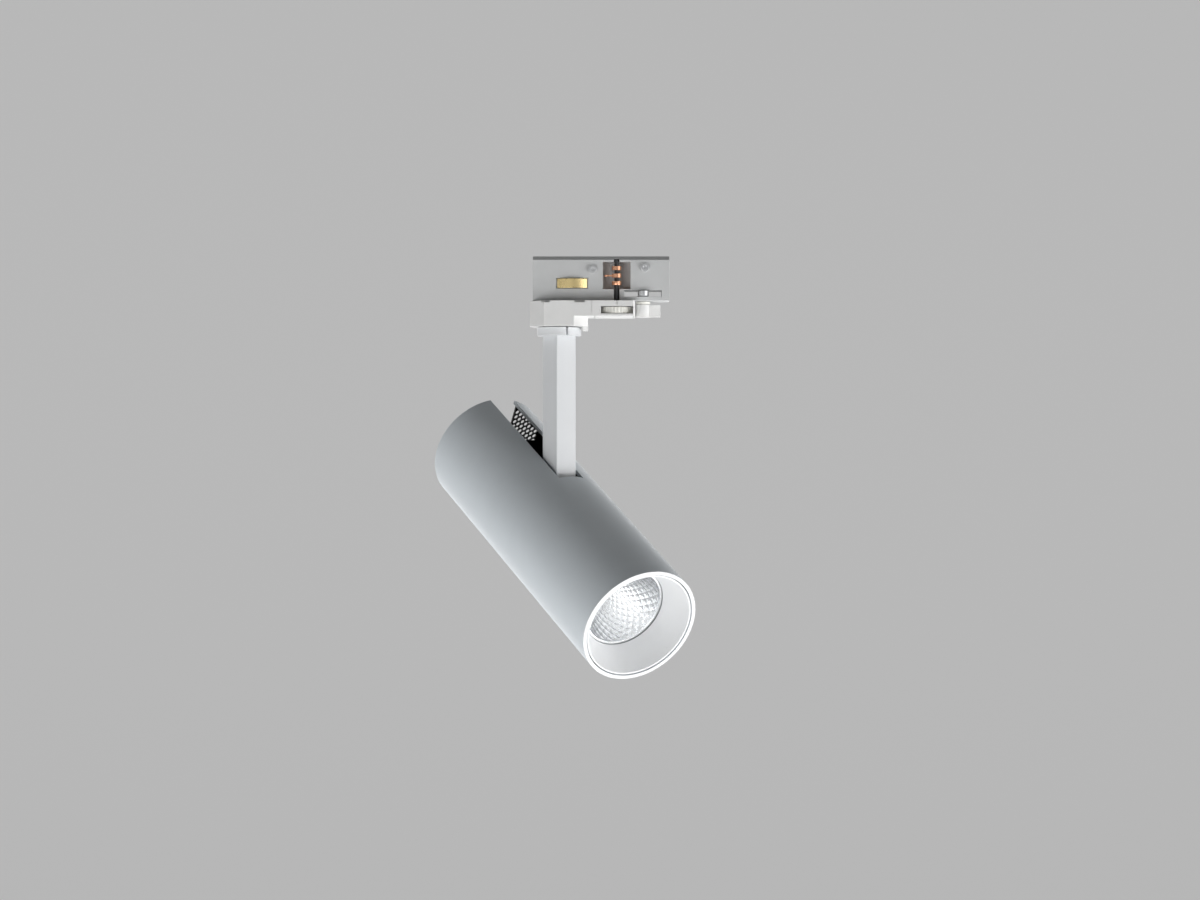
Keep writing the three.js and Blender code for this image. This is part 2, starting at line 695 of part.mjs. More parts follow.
// The supply lead inside the head: off the end of the tilt axis, past the plate, to the driver.
function headLead() {
  const z = HEAD.pivotHeight;
  return lead(
    [
      [0, BARREL_BOLT.end + GAP, z],
      [0, 15.2, z - 0.2],
      [0, 17.4, z - 2],
      [0, 18.2, z - 5],
      [0, 18.4, 8],
      [-0.4, 18.2, 0],
      [-1.4, 15.4, -7],
      [-4.6, 10, -9.9],
      [-7.7, 9, -10],
    ],
    LEAD_RADIUS,
    20,
  );
}

// The lead from the driver, between two fins, to the LED board.
function ledLead() {
  const [, y, z] = LED_LEAD_PASS;
  return lead(
    [
      [-7.7, -9, -10],
      [-4.6, -9.2, -10.2],
      [4, -14, -14.6],
      [12, y, z],
      [30, y, z],
      [50, y, z],
      [56, y, z],
    ],
    0.9,
    26,
  );
}

// A headless screw through the tube into the heat sink's base, along `axis` towards `sign`.
function tubeScrew(axis, sign) {
  const at = [TUBE_SCREW_X, 0, 0];
  const face = sign * (HEAD.radius - GAP);
  const [from, to] = [sign * 24, face].sort((a, b) => a - b);
  const recess = rod(axis, face - 0.9, face + 0.9, 0.8, at, 6);
  return cut(rod(axis, from, to, 1.4, at, 18), recess);
}

// ---- Assembly -------------------------------------------------------------------------------

const spotlight = new THREE.Group();

const adapter = new THREE.Group();
spotlight.add(adapter);
piece(adapter, "base_housing", MATERIAL.housing, baseHousing());
piece(adapter, "base_cover", MATERIAL.housing, baseCover());
COVER_SCREWS.forEach((at, i) =>
  piece(adapter, `cover_screw_${i + 1}`, MATERIAL.steel, coverScrew(at)),
);
piece(adapter, "carrier_near", MATERIAL.carrier, carrierHalf(-1));
piece(adapter, "carrier_far", MATERIAL.carrier, carrierHalf(1));
CARRIER_SCREWS.forEach((at, i) =>
  piece(adapter, `carrier_screw_${i + 1}`, MATERIAL.steel, screw("y", -8.9, 7, at, 1.2, 2.2, 1)),
);
piece(adapter, "earth_contact_near", MATERIAL.brass, earthContact(-1));
piece(adapter, "earth_contact_far", MATERIAL.brass, earthContact(1));
piece(adapter, "neutral_contact", MATERIAL.copper, neutralContact());
piece(adapter, "terminal_block", MATERIAL.terminal, terminalBlock());
piece(adapter, "adapter_lead", MATERIAL.lead, rod("z", 1.3, 7.7, LEAD_RADIUS, [0, 0, 0], 12));

const selector = new THREE.Group();
selector.position.set(SELECTOR.x, SELECTOR.y, 0);
adapter.add(selector);
piece(selector, "selector_wheel", MATERIAL.cream, selectorWheel());
piece(
  selector,
  "selector_shaft",
  MATERIAL.black,
  rod("z", -6.7, 22.3, SELECTOR.shaft, [0, 0, 0], 24),
);
[
  [-90, 9.2],
  [-180, 13.2],
  [-270, 17.2],
].forEach(([heading, z], i) =>
  piece(selector, `phase_contact_${i + 1}`, MATERIAL.copper, phaseContact(heading, z)),
);

const lock = new THREE.Group();
lock.position.set(LOCK.x, 0, 0);
adapter.add(lock);
piece(lock, "lock_lever", MATERIAL.housing, lockLever());
piece(lock, "lock_cam", MATERIAL.cream, lockCam());
piece(lock, "lock_wing", MATERIAL.steel, lockWing());

const stem = new THREE.Group();
stem.rotation.z = PAN_REST;
spotlight.add(stem);
piece(stem, "nipple", MATERIAL.steel, ring("z", NIPPLE.bottom, NIPPLE.top, 5, NIPPLE.inner));
piece(stem, "swivel_nut", MATERIAL.steel, nut("z", -7.6, -4.2, 8, NIPPLE.outer + 0.25));
piece(stem, "spring_washer", MATERIAL.steel, ring("z", -9.2, -7.9, 8.4, 5.4));
piece(stem, "friction_washer", MATERIAL.nylon, ring("z", -14.2, -13.8, 10.4, 5.4));
piece(stem, "swivel_collar", MATERIAL.stem, swivelCollar());
piece(stem, "stem_tube", MATERIAL.stem, stemTube());
piece(stem, "stem_screw", MATERIAL.steel, stemScrew());
piece(stem, "pivot_knuckle", MATERIAL.stem, pivotKnuckle());
piece(stem, "pivot_bolt", MATERIAL.steel, pivotBolt());
const onPivot = [0, 0, PIVOT_Z];
piece(stem, "tilt_washer_near", MATERIAL.nylon, ring("y", -6.75, -6.05, 7, 4.3, onPivot));
piece(stem, "tilt_washer_far", MATERIAL.nylon, ring("y", 6.05, 6.75, 7, 4.3, onPivot));
piece(stem, "tilt_spring_washer", MATERIAL.steel, ring("y", 8.85, 9.6, 6, 4.3, onPivot));
piece(stem, "tilt_nut", MATERIAL.steel, nut("y", 9.85, 12.4, 6.6, 4.25, onPivot));
piece(stem, "stem_lead", MATERIAL.lead, stemLead());

const head = new THREE.Group();
head.position.set(0, 0, PIVOT_Z);
head.rotation.y = Math.PI / 2 - TILT_REST;
stem.add(head);
const barrel = new THREE.Group();
barrel.position.set(0, 0, -HEAD.pivotHeight);
head.add(barrel);
piece(barrel, "head_tube", MATERIAL.head, headTube());
piece(barrel, "rear_grille", MATERIAL.grille, rearGrille());
piece(barrel, "baffle", MATERIAL.baffle, baffle());
piece(barrel, "reflector", MATERIAL.reflector, reflector());
piece(barrel, "led_holder", MATERIAL.ceramic, ledHolder());
const squarePlate = (x0, x1, half) => box(x0, x1, -half, half, -half, half);
const { board, boardFront, half: boardHalf, light } = EMITTER;
piece(barrel, "led_board", MATERIAL.ceramic, squarePlate(board, boardFront, boardHalf));
piece(
  barrel,
  "led_emitter",
  MATERIAL.phosphor,
  rod("x", boardFront + GAP, boardFront + 0.9, light, [0, 0, 0], 40),
);
piece(barrel, "thermal_pad", MATERIAL.pad, squarePlate(57.15, 57.6, boardHalf));
HOLDER_SCREWS.forEach((y, i) =>
  piece(barrel, `holder_screw_${i + 1}`, MATERIAL.steel, screw("x", 63.8, 52, [0, y, 0])),
);
piece(barrel, "heat_sink", MATERIAL.heatSink, heatSink());
piece(barrel, "chassis", MATERIAL.black, chassis());
CHASSIS_SCREWS.forEach((y, i) => {
  const made = screw("x", 12.7, 22, [0, y, CHASSIS_SCREW_Z]);
  piece(barrel, `chassis_screw_${i + 1}`, MATERIAL.steel, made);
});
piece(barrel, "pivot_bracket", MATERIAL.steel, pivotBracket());
BRACKET_SCREWS.forEach((x, i) =>
  piece(barrel, `bracket_screw_${i + 1}`, MATERIAL.steel, screw("z", 7.1, 3.2, [x, 0, 0])),
);
piece(barrel, "driver_case", MATERIAL.black, driverCase());
piece(barrel, "driver_terminals", MATERIAL.terminal, driverTerminals());
piece(barrel, "head_lead", MATERIAL.lead, headLead());
piece(barrel, "led_lead", MATERIAL.lead, ledLead());
GRILLE_SCREWS.forEach((y, i) => {
  const made = screw("x", GRILLE.outer - GAP, -71, [0, y, GRILLE_SCREW_Z]);
  piece(barrel, `grille_screw_${i + 1}`, MATERIAL.steel, made);
});
piece(barrel, "tube_screw_bottom", MATERIAL.steel, tubeScrew("z", -1));
piece(barrel, "tube_screw_side", MATERIAL.steel, tubeScrew("y", 1));

export default spotlight;
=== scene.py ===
"""Track spotlight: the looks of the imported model, built around its nodes."""

import json
import math

import bmesh
import bpy
from mathutils import Matrix, Vector

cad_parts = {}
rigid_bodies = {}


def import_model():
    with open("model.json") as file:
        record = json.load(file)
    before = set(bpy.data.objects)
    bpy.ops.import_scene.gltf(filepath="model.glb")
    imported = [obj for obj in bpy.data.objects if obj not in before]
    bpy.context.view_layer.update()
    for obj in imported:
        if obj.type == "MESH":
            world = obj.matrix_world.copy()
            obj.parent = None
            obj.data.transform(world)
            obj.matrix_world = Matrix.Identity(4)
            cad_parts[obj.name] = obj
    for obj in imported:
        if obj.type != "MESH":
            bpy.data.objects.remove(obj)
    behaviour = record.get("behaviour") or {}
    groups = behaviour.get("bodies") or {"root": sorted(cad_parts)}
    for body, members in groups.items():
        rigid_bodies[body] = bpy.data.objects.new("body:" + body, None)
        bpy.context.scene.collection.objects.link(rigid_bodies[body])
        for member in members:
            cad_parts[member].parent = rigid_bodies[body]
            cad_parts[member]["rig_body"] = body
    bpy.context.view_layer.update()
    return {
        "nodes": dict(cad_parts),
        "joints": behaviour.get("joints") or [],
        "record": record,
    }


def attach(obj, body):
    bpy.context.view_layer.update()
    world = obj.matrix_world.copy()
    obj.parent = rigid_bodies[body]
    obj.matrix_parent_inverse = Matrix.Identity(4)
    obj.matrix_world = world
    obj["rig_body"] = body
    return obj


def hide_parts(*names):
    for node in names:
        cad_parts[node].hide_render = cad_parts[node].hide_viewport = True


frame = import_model()

MM = 0.001
JOINTS = {joint["name"]: joint for joint in frame["joints"]}

# ---- Frames of the moving parts ---------------------------------------------------------------

PIVOT = Vector(JOINTS["tilt"]["pos_m"])
SIDE = Vector(JOINTS["tilt"]["axis"]).normalized()
UP = Vector((0, 0, 1))
HEADING = SIDE.cross(UP)
TILT_REST = math.radians(JOINTS["tilt"]["range_deg"][1])  # from straight down
AIM = math.sin(TILT_REST) * HEADING - math.cos(TILT_REST) * UP
BACK = AIM.cross(SIDE)

PIVOT_HEIGHT = 20.5 * MM  # pivot above the head's axis


def frame_matrix(origin, x, y, z):
    """The frame with this origin and these axes."""
    matrix = Matrix((x, y, z)).transposed().to_4x4()
    matrix.translation = origin
    return matrix


BARREL = frame_matrix(PIVOT - PIVOT_HEIGHT * BACK, AIM, SIDE, BACK)
STEM = frame_matrix(Vector((0, 0, 0)), HEADING, SIDE, UP)
ADAPTER = Matrix.Identity(4)

# ---- Materials --------------------------------------------------------------------------------

RAMP_SPAN = (0.3, 0.7)  # of the noise's value, where the colour changes
FINE_NOISE = 4  # times the mottle's scale, for the roughness
GRAIN_SCALE, GRAIN_STRENGTH, GRAIN_DETAIL = 2200, 0.6, 2.0
NOISE_ROUGHNESS = 0.6
SMOOTHEST = 0.02


def texture_input(nodes, links, stretch):
    """The object's own coordinates, stretched along its axes."""
    coords = nodes.new("ShaderNodeTexCoord")
    mapping = nodes.new("ShaderNodeMapping")
    mapping.inputs["Scale"].default_value = stretch
    links.new(coords.outputs["Object"], mapping.inputs["Vector"])
    return mapping.outputs["Vector"]


def noise(nodes, links, vector, scale, detail=4.0):
    """A noise texture's value, from 0 to 1."""
    node = nodes.new("ShaderNodeTexNoise")
    node.inputs["Scale"].default_value = scale
    node.inputs["Detail"].default_value = detail
    node.inputs["Roughness"].default_value = NOISE_ROUGHNESS
    links.new(vector, node.inputs["Vector"])
    return node.outputs["Fac"]


def surface(
    name,
    color,
    roughness,
    metallic=0.0,
    mottle=0.04,
    mottle_scale=60,
    rough_spread=0.08,
    grain_depth=0.02,
    stretch=(1, 1, 1),
    specular=0.5,
    glow=0.0,
):
    """A shader whose colour, roughness and relief all vary with noise of the object's own space."""
    material = bpy.data.materials.new(name)
    material.use_nodes = True
    nodes, links = material.node_tree.nodes, material.node_tree.links
    shader = nodes["Principled BSDF"]
    shader.inputs["Metallic"].default_value = metallic
    shader.inputs["Specular IOR Level"].default_value = specular
    vector = texture_input(nodes, links, stretch)

    ramp = nodes.new("ShaderNodeValToRGB")
    dark, light = ramp.color_ramp.elements
    dark.position, light.position = RAMP_SPAN
    dark.color = (*(c * (1 - mottle) for c in color), 1)
    light.color = (*(min(c * (1 + mottle), 1) for c in color), 1)
    links.new(noise(nodes, links, vector, mottle_scale), ramp.inputs["Fac"])
    links.new(ramp.outputs["Color"], shader.inputs["Base Color"])
    if glow:
        links.new(ramp.outputs["Color"], shader.inputs["Emission Color"])
        shader.inputs["Emission Strength"].default_value = glow

    spread = nodes.new("ShaderNodeMapRange")
    spread.inputs["To Min"].default_value = max(roughness - rough_spread, SMOOTHEST)
    spread.inputs["To Max"].default_value = min(roughness + rough_spread, 1)
    links.new(noise(nodes, links, vector, mottle_scale * FINE_NOISE), spread.inputs["Value"])
    links.new(spread.outputs["Result"], shader.inputs["Roughness"])

    bump = nodes.new("ShaderNodeBump")
    bump.inputs["Strength"].default_value = GRAIN_STRENGTH
    bump.inputs["Distance"].default_value = grain_depth * MM
    links.new(noise(nodes, links, vector, GRAIN_SCALE, GRAIN_DETAIL), bump.inputs["Height"])
    links.new(bump.outputs["Normal"], shader.inputs["Normal"])
    return material


MATERIAL = {
    # The blue tint of the head's paint is painted light: it copies the cool light in the tube's
    # shade.
    "head_paint": surface("head_paint", (0.675, 0.725, 0.76), 0.42, mottle=0.015),
    "stem_paint": surface("stem_paint", (0.69, 0.705, 0.72), 0.42, mottle=0.015),
    "white_plastic": surface("white_plastic", (0.82, 0.82, 0.81), 0.45, grain_depth=0.03),
    "grey_plastic": surface("grey_plastic", (0.62, 0.63, 0.63), 0.5, grain_depth=0.04),
    "cream_plastic": surface("cream_plastic", (0.93, 0.92, 0.86), 0.45, grain_depth=0.03),
    "copper": surface("copper", (0.80, 0.42, 0.26), 0.28, 1.0, mottle=0.1, stretch=(1, 8, 1)),
    "brass": surface("brass", (0.80, 0.64, 0.32), 0.28, 1.0, mottle=0.1, stretch=(1, 8, 1)),
    "lead_sheath": surface("lead_sheath", (0.78, 0.78, 0.76), 0.55),
    "black_nylon": surface("black_nylon", (0.02, 0.02, 0.022), 0.55, grain_depth=0.04),
    "black_metal": surface("black_metal", (0.012, 0.013, 0.014), 0.5, mottle=0.2),
    "black_plastic": surface("black_plastic", (0.035, 0.037, 0.040), 0.5, grain_depth=0.06),
    "white_baffle": surface("white_baffle", (0.82, 0.83, 0.84), 0.5, mottle=0.01),
    "bright_reflector": surface(
        "bright_reflector", (0.73, 0.74, 0.75), 0.24, 1.0, mottle=0.02, rough_spread=0.03
    ),
    "heat_sink_metal": surface("heat_sink_metal", (0.55, 0.56, 0.57), 0.42, 1.0, mottle=0.08),
    "ceramic": surface("ceramic", (0.80, 0.79, 0.75), 0.5),
    "phosphor": surface("phosphor", (0.85, 0.66, 0.12), 0.35, mottle=0.12, mottle_scale=900),
    "thermal_pad": surface("thermal_pad", (0.36, 0.40, 0.43), 0.8, mottle=0.1),
    "terminal_plastic": surface("terminal_plastic", (0.78, 0.79, 0.78), 0.4),
    "steel": surface("steel", (0.60, 0.61, 0.62), 0.32, 1.0, mottle=0.1, mottle_scale=300),
}

# ---- Mesh helpers -----------------------------------------------------------------------------

SHARP_ANGLE = math.radians(32)
FACE_WEIGHT = 100


def new_object(name, mesh, slot, body, place):
    """A piece whose mesh, made in the space of `place`, is put in the shared frame."""
    mesh.transform(place)
    thing = bpy.data.objects.new(name, mesh)
    bpy.context.scene.collection.objects.link(thing)
    mesh.materials.clear()
    mesh.materials.append(MATERIAL[slot])
    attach(thing, body)
    return thing


def to_mesh(name, builder):
    """The builder's mesh with its faces turned outwards."""
    mesh = bpy.data.meshes.new(name)
    bmesh.ops.recalc_face_normals(builder, faces=builder.faces[:])
    builder.to_mesh(mesh)
    builder.free()
    return mesh


def soften(thing, width, segments=3, angle=40):
    """Rounds the sharp edges by a small radius, and shades flat faces flat."""
    bevel = thing.modifiers.new("edges", "BEVEL")
    bevel.width = width * MM
    bevel.segments = segments
    bevel.limit_method = "ANGLE"
    bevel.angle_limit = math.radians(angle)
    bevel.miter_outer = "MITER_ARC"
    settle(thing)
    return shade(thing)


def shade(thing):
    """Smooth shading that breaks at sharp edges and follows the larger faces."""
    builder = bmesh.new()
    builder.from_mesh(thing.data)
    for face in builder.faces:
        face.smooth = True
    for edge in builder.edges:
        edge.smooth = edge.calc_face_angle(math.pi) < SHARP_ANGLE
    builder.to_mesh(thing.data)
    builder.free()
    normals = thing.modifiers.new("normals", "WEIGHTED_NORMAL")
    normals.keep_sharp = True
    normals.weight = FACE_WEIGHT
    return thing


def settle(thing):
    """Applies a thing's modifiers to its mesh."""
    graph = bpy.context.evaluated_depsgraph_get()
    graph.update()
    mesh = bpy.data.meshes.new_from_object(thing.evaluated_get(graph))
    old = thing.data
    thing.modifiers.clear()
    thing.data = mesh
    bpy.data.meshes.remove(old)


def carve(thing, place, cutters):
    """Cuts meshes, made in the space of `place`, out of a thing."""
    for mesh in cutters:
        mesh.transform(place)
        tool = bpy.data.objects.new("tool", mesh)
        bpy.context.scene.collection.objects.link(tool)
        boolean = thing.modifiers.new("boolean", "BOOLEAN")
        boolean.operation = "DIFFERENCE"
        boolean.solver = "EXACT"
        boolean.object = tool
        bpy.context.view_layer.update()
        settle(thing)
        bpy.data.objects.remove(tool)
    return thing


def block(x0, x1, y0, y1, z0, z1):
    """A box between these planes."""
    builder = bmesh.new()
    bmesh.ops.create_cube(builder, size=1)
    size = Matrix.Diagonal(((x1 - x0) * MM, (y1 - y0) * MM, (z1 - z0) * MM, 1))
    middle = Vector(((x0 + x1) / 2, (y0 + y1) / 2, (z0 + z1) / 2)) * MM
    builder.transform(Matrix.Translation(middle) @ size)
    return to_mesh("block", builder)


TURN_TO = {
    "x": Matrix.Rotation(math.pi / 2, 4, "Y"),
    "y": Matrix.Rotation(-math.pi / 2, 4, "X"),
    "z": Matrix.Identity(4),
}


def rod(axis, start, end, radius, at, segments):
    """A cylinder along an axis through `at`, from start to end along it."""
    builder = bmesh.new()
    bmesh.ops.create_cone(
        builder,
        cap_ends=True,
        segments=segments,
        radius1=radius * MM,
        radius2=radius * MM,
        depth=(end - start) * MM,
    )
    shift = Matrix.Translation((0, 0, (start + end) / 2 * MM))
    builder.transform(Matrix.Translation(Vector(at) * MM) @ TURN_TO[axis] @ shift)
    return to_mesh("rod", builder)


def turned(name, outline, segments=160, axis="x"):
    """A closed outline of (radius, place) turned about an axis."""
    builder = bmesh.new()
    rings = []
    for step in range(segments):
        angle = 2 * math.pi * step / segments
        rings.append(
            [
                builder.verts.new(
                    (r * math.cos(angle) * MM, r * math.sin(angle) * MM, place * MM)
                )
                for r, place in outline
            ]
        )
    count = len(outline)
    for step, ring in enumerate(rings):
        following = rings[(step + 1) % segments]
        for i in range(count):
            j = (i + 1) % count
            builder.faces.new((ring[i], ring[j], following[j], following[i]))
    builder.transform(TURN_TO[axis])
    return to_mesh(name, builder)


WELD = 0.02 * MM
FLAT_ANGLE = math.radians(1)
CAD_EDGE = 0.15
EDGE_OF = {
    "base_housing": 0.35,
    "lock_lever": 0.35,
    "carrier_near": 0.3,
    "carrier_far": 0.3,
    "heat_sink": 0.12,
}


def refined(node, slot, details=()):
    """A CAD node's own shape with flat faces made whole and its edges rounded."""
    builder = bmesh.new()
    builder.from_mesh(frame["nodes"][node].data)
    bmesh.ops.remove_doubles(builder, verts=builder.verts[:], dist=WELD)
    bmesh.ops.dissolve_limit(
        builder,
        angle_limit=FLAT_ANGLE,
        verts=builder.verts[:],
        edges=builder.edges[:],
    )
    body = frame["nodes"][node]["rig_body"]
    thing = new_object(f"{node}_finished", to_mesh(node, builder), slot, body, ADAPTER)
    carve(thing, ADAPTER, details)
    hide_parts(node)
    return soften(thing, EDGE_OF.get(node, CAD_EDGE))


# ---- Head -------------------------------------------------------------------------------------

HEAD_RADIUS = 32.5
HEAD_BORE = 30.5
HEAD_FRONT = 107
HEAD_REAR = -78
SLOT_HALF = 7.5
SLOT_END = 8.3
TUBE_SCREW_X = 54
TUBE_SCREW_HOLE = 1.9
TUBE_SCREW_BAND = 5  # half of the length of tube round the screws that has its own rings
TUBE_EDGE = 0.25
SCREW_SEGMENTS = 48
DISC_SEGMENTS = 160
CUT_MARGIN = 1  # past the wall, on both sides
# A black lining in the tube's rear half: painted shade on the tube's inner wall, seen through the
# slot.
SHADE_LINER = {"outer": 30.4, "inner": 30.15, "rear": -74.78, "front": 14.4}
# The tube stops short of its front by this depth; a white ring there is a painted highlight on the
# tube's front end.
RIM_DEPTH = 0.4


def slotted_tube():
    """The tube as one clean shell: full rings ahead of the slot, open rings beside it."""
    around, across = 132, 8
    front = HEAD_FRONT - RIM_DEPTH
    band = (TUBE_SCREW_X - TUBE_SCREW_BAND, TUBE_SCREW_X + TUBE_SCREW_BAND)
    stations = [HEAD_REAR, SLOT_END, *band, front]
    builder = bmesh.new()

    def ring(x, radius, closed):
        """A ring of points that leaves the slot open, or goes on across it."""
        edge = math.asin(SLOT_HALF / radius)
        angles = [edge + (2 * math.pi - 2 * edge) * i / around for i in range(around + 1)]
        if closed:
            angles += [-edge + 2 * edge * i / across for i in range(1, across)]
        return [
            builder.verts.new(
                (x * MM, radius * math.sin(a) * MM, radius * math.cos(a) * MM)
            )
            for a in angles
        ]

    def bridge(first, second, closed):
        """Faces between two rings."""
        count = min(len(first), len(second))
        for i in range(count if closed else around):
            j = (i + 1) % count
            builder.faces.new((first[i], first[j], second[j], second[i]))

    outer = [ring(x, HEAD_RADIUS, i > 0) for i, x in enumerate(stations)]
    inner = [ring(x, HEAD_BORE, i > 0) for i, x in enumerate(stations)]
    for shell in (outer, inner):
        bridge(shell[0], shell[1], False)
        for first, second in zip(shell[1:], shell[2:]):
            bridge(first, second, True)
    bridge(outer[0], inner[0], False)
    bridge(outer[-1], inner[-1], True)
    for corner in (0, around):
        builder.faces.new(
            (outer[0][corner], outer[1][corner], inner[1][corner], inner[0][corner])
        )
    end_outer = outer[1][around:] + outer[1][:1]
    end_inner = inner[1][around:] + inner[1][:1]
    for i in range(len(end_outer) - 1):
        builder.faces.new((end_outer[i], end_outer[i + 1], end_inner[i + 1], end_inner[i]))

    tube = new_object("tube_shell", to_mesh("tube_shell", builder), "head_paint", "head", BARREL)
    at = (TUBE_SCREW_X, 0, 0)
    shallow, deep = HEAD_BORE - CUT_MARGIN, HEAD_RADIUS + CUT_MARGIN
    under = rod("z", -deep, -shallow, TUBE_SCREW_HOLE, at, SCREW_SEGMENTS)
    beside = rod("y", shallow, deep, TUBE_SCREW_HOLE, at, SCREW_SEGMENTS)
    carve(tube, BARREL, [under, beside])
    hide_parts("head_tube")
    return soften(tube, TUBE_EDGE)


GRILLE_RADIUS = 30.2
GRILLE_FACE = -76
GRILLE_THICKNESS = 1.2
SHADE_SHEET_GAP = 0.08
GRILLE_BACK = GRILLE_FACE + GRILLE_THICKNESS + SHADE_SHEET_GAP
SHADE_SHEET_TOP = 8.6  # the perforations above it show daylight; below it the black sheet is painted shade in the holes
NOTCH_HALF = 7.9
NOTCH_FLOOR = 12
HOLE_RADIUS = 1.2
HOLE_PITCH = 2.95
COLUMN_STEP = 2.47
GRID_SHIFT = -0.8  # of the middle of the pattern, along the disc's upright
GRILLE_SCREWS = [(-8, -6), (8, -6)]
SCREW_ROOM = 3.6  # round a screw, free of holes
HOLE_MARGIN = 0.35  # of metal between a hole and the disc's edge
GRILLE_SCREW_HOLE, GRILLE_SCREW_STEPS = 1.8, 32
GRILLE_EDGE = 0.1
RIM_STEPS = 150


def grille_holes():
    """Centres of the perforations: columns along the disc's upright, every second one shifted."""
    reach = int(GRILLE_RADIUS / COLUMN_STEP) + 1
    margin = HOLE_RADIUS + HOLE_MARGIN
    for column in range(-reach, reach + 1):
        y = column * COLUMN_STEP
        for row in range(-reach, reach + 1):
            z = (row + 0.5 * (column % 2)) * HOLE_PITCH + GRID_SHIFT
            in_notch = abs(y) < NOTCH_HALF + margin and z > NOTCH_FLOOR - margin
            at_screw = any(math.hypot(y - sy, z - sz) < SCREW_ROOM for sy, sz in GRILLE_SCREWS)
            if math.hypot(y, z) < GRILLE_RADIUS - margin and not in_notch and not at_screw:
                yield y, z


def add_loop(curve, points):
    """Adds a closed line to a flat curve."""
    spline = curve.splines.new("POLY")
    spline.points.add(len(points) - 1)
    for point, (a, b) in zip(spline.points, points):
        point.co = (a * MM, b * MM, 0, 1)
    spline.use_cyclic_u = True


def circle_points(radius, centre, count=20):
    """Points round a circle."""
    steps = [2 * math.pi * i / count for i in range(count)]
    return [
        (centre[0] + radius * math.cos(a), centre[1] + radius * math.sin(a)) for a in steps
    ]


def rear_grille():
    """The notched rear disc, punched with a staggered pattern of holes."""
    curve = bpy.data.curves.new("grille", "CURVE")
    curve.dimensions = "2D"
    curve.fill_mode = "BOTH"
    edge = GRILLE_EDGE
    curve.extrude = (GRILLE_THICKNESS / 2 - edge) * MM
    curve.bevel_depth = edge * MM
    curve.bevel_resolution = 1
    radius = GRILLE_RADIUS - edge
    notch = NOTCH_HALF + edge
    start = math.acos(notch / radius)
    turn = math.pi + 2 * start
    sweep = [math.pi - start + turn * i / RIM_STEPS for i in range(RIM_STEPS + 1)]
    outline = [(radius * math.cos(a), radius * math.sin(a)) for a in sweep]
    outline += [(notch, NOTCH_FLOOR - edge), (-notch, NOTCH_FLOOR - edge)]
    add_loop(curve, outline)
    for centre in grille_holes():
        add_loop(curve, circle_points(HOLE_RADIUS + edge, centre))
    for centre in GRILLE_SCREWS:
        add_loop(curve, circle_points(GRILLE_SCREW_HOLE, centre, GRILLE_SCREW_STEPS))
    source = bpy.data.objects.new("grille_curve", curve)
    bpy.context.scene.collection.objects.link(source)
    bpy.context.view_layer.update()
    graph = bpy.context.evaluated_depsgraph_get()
    mesh = bpy.data.meshes.new_from_object(source.evaluated_get(graph))
    bpy.data.objects.remove(source)
    # The drawing's X and Y are the head's Y and Z.
    middle = Vector((GRILLE_FACE + GRILLE_THICKNESS / 2, 0, 0)) * MM
    mesh.transform(frame_matrix(middle, Vector((0, 1, 0)), Vector((0, 0, 1)), Vector((1, 0, 0))))
    disc = new_object("perforated_disc", mesh, "black_metal", "head", BARREL)
    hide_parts("rear_grille")
    return shade(disc)


SHADE_LINER_SETBACK = 0.4  # from the slot's sides
RIM_EDGE = 0.15
SHEET_THICKNESS = 0.15
SHEET_CLEARANCE = 0.03


def tube_painted_shade_and_highlight():
    """A black lining beside the slot, painted shade on the tube's inner wall; a white ring at the
    mouth, a painted highlight on the tube's front end; and a black sheet behind the disc's lower
    holes, painted shade.
    """
    outer, inner = SHADE_LINER["outer"], SHADE_LINER["inner"]
    rear, front = SHADE_LINER["rear"], SHADE_LINER["front"]
    mesh = turned("shade_liner", [(outer, rear), (outer, front), (inner, front), (inner, rear)])
    # The black lining is painted shade, not a part of the lamp.
    shade_liner = new_object("tube_painted_shade", mesh, "black_plastic", "head", BARREL)
    half = SLOT_HALF + SHADE_LINER_SETBACK
    slot = block(rear - CUT_MARGIN, SLOT_END + 1, -half, half, 0, outer + CUT_MARGIN)
    carve(shade_liner, BARREL, [slot])
    shade(shade_liner)

    # The tube's front end as a separate white ring: a painted highlight, brighter than the tube's
    # paint.
    back = HEAD_FRONT - RIM_DEPTH
    corners = [(HEAD_RADIUS, HEAD_FRONT), (HEAD_RADIUS, back), (HEAD_BORE, back)]
    rim = turned("rim", [*corners, (HEAD_BORE, HEAD_FRONT)])
    soften(new_object("painted_highlight_rim", rim, "white_baffle", "head", BARREL), RIM_EDGE)

    # A black sheet behind the disc's lower holes: painted shade where the tube's inside is seen
    # through them.
    deep = GRILLE_BACK + SHEET_THICKNESS
    mesh = rod("x", GRILLE_BACK, deep, inner - SHEET_CLEARANCE, (0, 0, 0), DISC_SEGMENTS)
    sheet = new_object("grille_painted_shade", mesh, "black_plastic", "head", BARREL)
    past = 40  # beyond the sheet on every side
    carve(sheet, BARREL, [block(HEAD_REAR - 2, -70, -past, past, SHADE_SHEET_TOP, past)])
    shade(sheet)


LIP = HEAD_FRONT - 0.5
THROAT_RADIUS, THROAT_DEPTH, THROAT_WALL = 22.5, 17.4, 1.4
TURNED_ANGLE = 20  # edges flatter than this stay as they are


